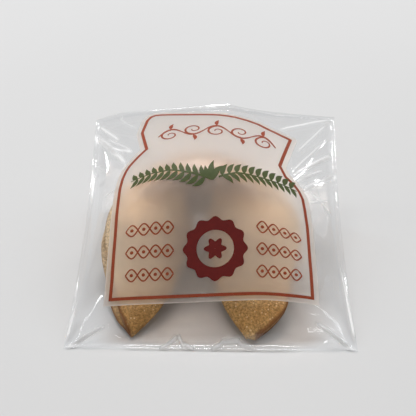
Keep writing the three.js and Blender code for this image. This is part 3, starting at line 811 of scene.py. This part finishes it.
def make_film(over, under):
    """Both films as one closed envelope; the lower one has every other row and column."""
    x, y = over.x, np.broadcast_to(over.y[:, None], over.x.shape)
    edge = edge_distance(over)
    bare = off_label(x, y)
    top, base = film_heights(x, y, edge, bare, over, under)
    high = np.stack([x, y, top], -1)
    low = coarser(np.stack([x, y, base], -1))
    verts = np.concatenate([high.reshape(-1, 3), low.reshape(-1, 3)]) * MM
    obj = new_object("film_bag", verts, envelope_faces(*x.shape))
    white_and_highlight, plain, gloss = film_looks(x, y, edge, bare)
    for name, above, below in (("white_and_painted_highlight", white_and_highlight, plain), ("gloss", gloss, gloss)):
        set_vertex_values(obj.data, name, np.concatenate([above.ravel(), coarser(below).ravel()]))
    obj.data.materials.append(film_material())
    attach(obj, "root")
    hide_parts("bag")


# ---------------------------------------------------------------- label


class LabelPlace:
    """Where a point of the flat label, (x, height from its lower edge), lies on the film."""

    STEP = 0.1  # along the film's middle line
    BEYOND = 12  # how far the line runs on past the bag's back
    SLOPE_STEP = 0.6

    def __init__(self, over):
        self.over = over
        self.y = np.arange(LABEL_FRONT_Y, BAG_Y[1] + self.BEYOND, self.STEP)
        z = over.read(np.zeros(self.y.shape), self.y)
        self.run = np.concatenate([[0], np.cumsum(np.hypot(np.diff(self.y), np.diff(z)))])

    def at(self, x, height, lift):
        """Points in metres, lifted square to the film."""
        x, height = np.asarray(x, float), np.asarray(height, float)
        y = np.interp(height, self.run, self.y) + LABEL_SKEW * x
        z = self.over.read(x, y)
        e = self.SLOPE_STEP
        gx = (self.over.read(x + e, y) - self.over.read(x - e, y)) / (2 * e)
        gy = (self.over.read(x, y + e) - self.over.read(x, y - e)) / (2 * e)
        n = np.sqrt(1 + gx**2 + gy**2)
        return np.stack([x - lift * gx / n, y - lift * gy / n, z + lift / n], -1) * MM


def bordered(length, steps):
    """Even steps over a length, with a narrow one of LABEL_BORDER at each end."""
    return np.concatenate([[0], np.linspace(LABEL_BORDER, length - LABEL_BORDER, steps - 1), [length]])


def make_label(place):
    columns, rows = LABEL_CELLS
    height = bordered(LABEL_LENGTH, rows)
    left, right = read_table(LABEL_LEFT, height), read_table(LABEL_RIGHT, height)
    width = LABEL_RIGHT[0][1] - LABEL_LEFT[0][1]
    x = left[:, None] + (right - left)[:, None] * (bordered(width, columns) / width)[None, :]
    heights = np.broadcast_to(height[:, None], x.shape)
    top = place.at(x, heights, LABEL_LIFT + LABEL_THICK)
    bottom = place.at(x, heights, LABEL_LIFT)
    slabs = Slabs()
    slabs.add(top.tolist(), bottom.tolist())
    obj = slabs.object("label_sheet")
    # the cut edge's row, which carries the painted highlight
    edge_highlight = np.ones(x.shape)
    edge_highlight[1:-1, 1:-1] = 0
    set_vertex_values(obj.data, "edge_highlight", np.tile(edge_highlight.ravel(), 2))
    obj.data.materials.append(label_material())
    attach(obj, "root")
    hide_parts("label")


# ---------------------------------------------------------------- the label's print


def mitres(points, loop):
    """For each point of a path, the way square to it, lengthened where the path turns."""
    if loop:
        before, after = points - np.roll(points, 1, 0), np.roll(points, -1, 0) - points
    else:
        steps = np.diff(points, axis=0)
        before, after = np.concatenate([steps[:1], steps]), np.concatenate([steps, steps[-1:]])
    normals = []
    for way in (before, after):
        way = way / np.linalg.norm(way, axis=1, keepdims=True)
        normals.append(np.stack([-way[:, 1], way[:, 0]], -1))
    turn = 1 + np.sum(normals[0] * normals[1], axis=1, keepdims=True)
    sharpest = 0.5  # beyond this a corner is no longer lengthened
    return (normals[0] + normals[1]) / np.maximum(turn, sharpest)


class Print:
    """Flat motifs laid on the label: every call adds closed, paper-thin slabs."""

    STROKE_ACROSS = 3  # points
    RING_ACROSS = 6
    LEAF_STEPS = 10
    LEAF_BEND = 0.12  # of its length
    LEAF_BROADEST = 0.8  # the lower, the nearer to its stem
    LEAF_POINT = 0.04  # half the width of its ends

    def __init__(self, place):
        self.place = place
        self.slabs = Slabs()

    def grid(self, x, height, loop=False):
        top = self.place.at(x, height, PRINT_LIFT + PRINT_THICK).tolist()
        bottom = self.place.at(x, height, PRINT_LIFT).tolist()
        self.slabs.add(top, bottom, loop)

    def stroke(self, points, half_width, loop=False):
        """A line through points, mitred; half_width is one number or one for each point."""
        points = np.asarray(points, float)
        side = mitres(points, loop) * np.broadcast_to(half_width, len(points))[:, None]
        across = np.linspace(-1, 1, self.STROKE_ACROSS)[None, :, None]
        grid = points[:, None, :] + side[:, None, :] * across
        self.grid(grid[..., 0], grid[..., 1], loop)

    def leaf(self, start, angle, length, width):
        """A bent leaf from its stem at start, with the angle in radians."""
        s = np.linspace(0, 1, self.LEAF_STEPS + 1)
        bend = self.LEAF_BEND * length * np.sin(np.pi * s)
        way = np.array([math.cos(angle), math.sin(angle)])
        side = np.array([-way[1], way[0]])
        points = np.asarray(start)[None, :] + (s * length)[:, None] * way + bend[:, None] * side
        half_width = 0.5 * width * np.sin(np.pi * s**self.LEAF_BROADEST)
        self.stroke(points, np.maximum(self.LEAF_POINT, half_width))

    def ring(self, centre, inner, outer, steps, lobes=0, depth=0.0):
        """A ring whose outer edge may swing in and out by depth, once for each lobe."""
        theta = np.linspace(0, 2 * np.pi, steps, endpoint=False)
        edge = outer + depth * np.cos(lobes * theta)
        r = inner + (edge - inner)[:, None] * np.linspace(0, 1, self.RING_ACROSS)[None, :]
        x = centre[0] + r * np.cos(theta)[:, None]
        height = centre[1] + r * np.sin(theta)[:, None]
        self.grid(x, height, loop=True)

    def finish(self, name, mat):
        obj = self.slabs.object(name)
        obj.data.materials.append(mat)
        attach(obj, "root")


PRINT_MIDDLE_X = 1.0
PINHOLE = 0.02  # a disc is a ring with a hole too small to see

OUTLINE_INSET = 1.9
OUTLINE_WIDTH = 0.95
OUTLINE_STEP = 0.8

SCROLL_X = (-17, 20)
SCROLL_HEIGHT = 60.0
SCROLL_ARCH, SCROLL_TILT = 0.012, 0.10  # how its line bends down at both ends, and falls to the right
SCROLL_SWING = 2.6
SCROLL_TURNS = 5  # half waves, each with a curl and a leaf
SCROLL_STEPS = 32  # along each

CURL_STEPS = 40
CURL_WINDS_IN = 0.82  # of its radius

SPRIG_REACH = (1.5, 25.0)  # from the middle line, on each side
SPRIG_HEIGHT, SPRIG_RISE = 36.0, 5.0
SPRIG_STEPS = 70
SPRIG_PAIRS = 11  # of leaves on each side
SPRIG_FIRST, SPRIG_APART = 3, 6  # steps along the stem to the first pair, and between pairs
SPRIG_LEAN = 0.95  # radians from its stem

ROW_SPANS = ((-24.5, -10.5), (13.5, 26.5))
ROW_HEIGHTS = (21.9, 15.2, 8.5)
ROW_OVALS = 4
ROW_STEPS = 90
OVAL_HALF_HEIGHT = 1.75

ROSETTE_AT = (1.6, 15.2)


def resampled(points, step):
    """The closed path with its own corners kept and points added between them."""
    out = []
    for p, q in zip(points, np.roll(points, -1, 0)):
        count = max(1, int(np.linalg.norm(q - p) / step))
        out += [p + (q - p) * k / count for k in range(count)]
    return np.array(out)


def outline_path():
    """The label's own outline moved inward, as one closed path."""
    right = [(x, height) for height, x in LABEL_RIGHT]
    left = [(x, height) for height, x in reversed(LABEL_LEFT)]
    edge = np.array(right + left, float)
    return resampled(edge + OUTLINE_INSET * mitres(edge, loop=True), OUTLINE_STEP)


def curl(centre, radius, start, turns):
    """A spiral that winds inward; start is its first angle in radians."""
    s = np.linspace(0, 1, CURL_STEPS)
    r = radius * (1 - CURL_WINDS_IN * s)
    theta = start + 2 * np.pi * turns * s
    return np.stack([centre[0] + r * np.cos(theta), centre[1] + r * np.sin(theta)], -1)


def print_scroll(place, ink):
    """A wavy stem over the label's top, with a curl and a leaf at each of its turns."""
    scroll = Print(place)
    s = np.linspace(0, 1, SCROLL_TURNS * SCROLL_STEPS)
    x = SCROLL_X[0] + (SCROLL_X[1] - SCROLL_X[0]) * s
    out = x - PRINT_MIDDLE_X
    wave = np.sin(np.pi * SCROLL_TURNS * s)
    height = SCROLL_HEIGHT - SCROLL_ARCH * out**2 - SCROLL_TILT * out + SCROLL_SWING * wave
    scroll.stroke(np.stack([x, height], -1), half_width=0.22 + 0.2 * np.abs(wave))
    for k in range(SCROLL_TURNS):
        i = SCROLL_STEPS // 2 + k * SCROLL_STEPS
        way = -1 if k % 2 else 1
        centre = (x[i], height[i] - way * 3.4)
        path = curl(centre, radius=3.2, start=way * math.pi / 2, turns=way * 1.25)
        scroll.stroke(path, half_width=0.36 - 0.2 * np.linspace(0, 1, len(path)))
        scroll.leaf((x[i], height[i] + way * 0.4), angle=way * 1.4, length=3.4, width=1.3)
    scroll.finish("print_scroll", ink)


def print_sprig(place, ink):
    """A garland across the label's middle: a leaved stem to each side, and a tuft between them."""
    sprig = Print(place)
    near, far = SPRIG_REACH
    for way in (-1, 1):
        s = np.linspace(0, 1, SPRIG_STEPS)
        x = PRINT_MIDDLE_X + way * (near + (far - near) * s)
        height = SPRIG_HEIGHT + SPRIG_RISE * np.sin(0.5 * np.pi * s)
        sprig.stroke(np.stack([x, height], -1), half_width=0.30 - 0.16 * s)
        for k in range(SPRIG_PAIRS):
            i = SPRIG_FIRST + k * SPRIG_APART
            at = (x[i], height[i])
            slope = math.atan2(height[i + 1] - height[i - 1], x[i + 1] - x[i - 1])
            length = 4.6 - 0.12 * k
            sprig.leaf(at, slope + SPRIG_LEAN, length, width=1.5)
            sprig.leaf(at, slope - SPRIG_LEAN, 0.85 * length, width=1.4)
    for k in (-1, 0, 1):
        angle = math.pi / 2 + 0.5 * k
        sprig.leaf((PRINT_MIDDLE_X, SPRIG_HEIGHT - 0.8), angle, length=6.5 - 1.2 * abs(k), width=1.9)
    sprig.finish("print_sprig", ink)


def print_rows(place, ink):
    """Rows of ovals with a dot in each, on both sides of the rosette."""
    rows = Print(place)
    s = np.linspace(0, 1, ROW_STEPS)
    for left, right in ROW_SPANS:
        x = left + (right - left) * s
        for height in ROW_HEIGHTS:
            for way in (-1, 1):
                wave = height + way * OVAL_HALF_HEIGHT * np.sin(np.pi * ROW_OVALS * s)
                rows.stroke(np.stack([x, wave], -1), half_width=0.21)
            for k in range(ROW_OVALS):
                middle = (left + (right - left) * (k + 0.5) / ROW_OVALS, height)
                rows.ring(middle, PINHOLE, outer=0.5, steps=16)
    rows.finish("print_rows", ink)


def print_rosette(place, ink):
    """A scalloped ring round a small star."""
    rosette = Print(place)
    rosette.ring(ROSETTE_AT, inner=5.4, outer=8.9, steps=192, lobes=12, depth=0.5)
    rosette.ring(ROSETTE_AT, PINHOLE, outer=2.7, steps=96, lobes=6, depth=0.6)
    rosette.finish("print_rosette", ink)


def make_prints(place):
    red = ink_material("red-brown ink", (0.32, 0.058, 0.022))
    dark_red = ink_material("dark red ink", (0.15, 0.009, 0.007))
    green = ink_material("green ink", (0.075, 0.10, 0.03))
    outline = Print(place)
    outline.stroke(outline_path(), OUTLINE_WIDTH / 2, loop=True)
    outline.finish("print_outline", red)
    print_scroll(place, red)
    print_sprig(place, green)
    print_rows(place, red)
    print_rosette(place, dark_red)


# ---------------------------------------------------------------- camera

CAMERA_AT = (5.12, -147.0, 148.3)  # millimetres
CAMERA_PITCH = 40.8  # degrees below level
CAMERA_YAW = 2.4
CAMERA_ROLL = -1.4
FOCAL_PX = 616.0
FRAME_PX = 416.0
SENSOR_MM = 36


def make_camera():
    data = bpy.data.cameras.new("camera")
    data.sensor_width = SENSOR_MM
    data.lens = FOCAL_PX / FRAME_PX * SENSOR_MM
    data.clip_start, data.clip_end = 0.01, 20
    cam = add_object("camera", data)
    turn = (Matrix.Rotation(math.radians(CAMERA_YAW), 4, "Z")
            @ Matrix.Rotation(math.radians(90 - CAMERA_PITCH), 4, "X")
            @ Matrix.Rotation(math.radians(CAMERA_ROLL), 4, "Z"))
    cam.matrix_world = Matrix.Translation(Vector(CAMERA_AT) * MM) @ turn
    bpy.context.scene.camera = cam


# ---------------------------------------------------------------- floor and lights, in metres

FLOOR_HALF = 3.0

# Each lamp: name, place, the point it faces, size, watts, colour.
LAMPS = (
    ("high_window", (-0.1, 0.62, 1.22), (0, 0, 0), (0.8, 0.3), 13.8, (0.98, 0.99, 1.0)),
    ("back_strip", (0, 1.1, 0.24), (0, 0, 0.02), (1.2, 0.08), 0.3, WHITE),
    ("left_strip", (-0.84, 0.36, 0.9), (0, 0, 0.02), (0.03, 0.5), 2.2, WHITE),
    ("right_strip", (0.76, 0.36, 0.9), (0, 0, 0.02), (0.03, 0.5), 2.2, WHITE),
    ("top_strip", (0, -0.03, 1.2), (0, 0, 0), (0.6, 0.04), 0.7, WHITE),
)
ROOM_COLOUR = (1.0, 0.96, 0.92)
ROOM_STRENGTH = 0.26


def make_floor():
    h = FLOOR_HALF
    corners = [(-h, -h, 0), (h, -h, 0), (h, h, 0), (-h, h, 0)]
    floor = new_object("floor", corners, [(0, 1, 2, 3)], smooth=False)
    floor.data.materials.append(floor_material())


def area_light(name, place, aim, size, power, colour):
    data = bpy.data.lights.new(name, "AREA")
    data.shape = "RECTANGLE"
    data.size, data.size_y = size
    data.energy = power
    data.color = colour
    lamp = add_object(name, data)
    lamp.location = place
    lamp.rotation_euler = (Vector(aim) - Vector(place)).to_track_quat("-Z", "Y").to_euler()


def make_lights():
    for lamp in LAMPS:
        area_light(*lamp)
    world = bpy.data.worlds.new("soft room")
    world.use_nodes = True
    background = world.node_tree.nodes["Background"]
    background.inputs["Color"].default_value = (*ROOM_COLOUR, 1)
    background.inputs["Strength"].default_value = ROOM_STRENGTH
    bpy.context.scene.world = world


# ---------------------------------------------------------------- the scene

make_camera()
over, under = Film(1), Film(-1)
make_cookie()
make_film(over, under)
label_place = LabelPlace(over)
make_label(label_place)
make_prints(label_place)
make_floor()
make_lights()
bpy.context.scene.view_settings.view_transform = "Standard"
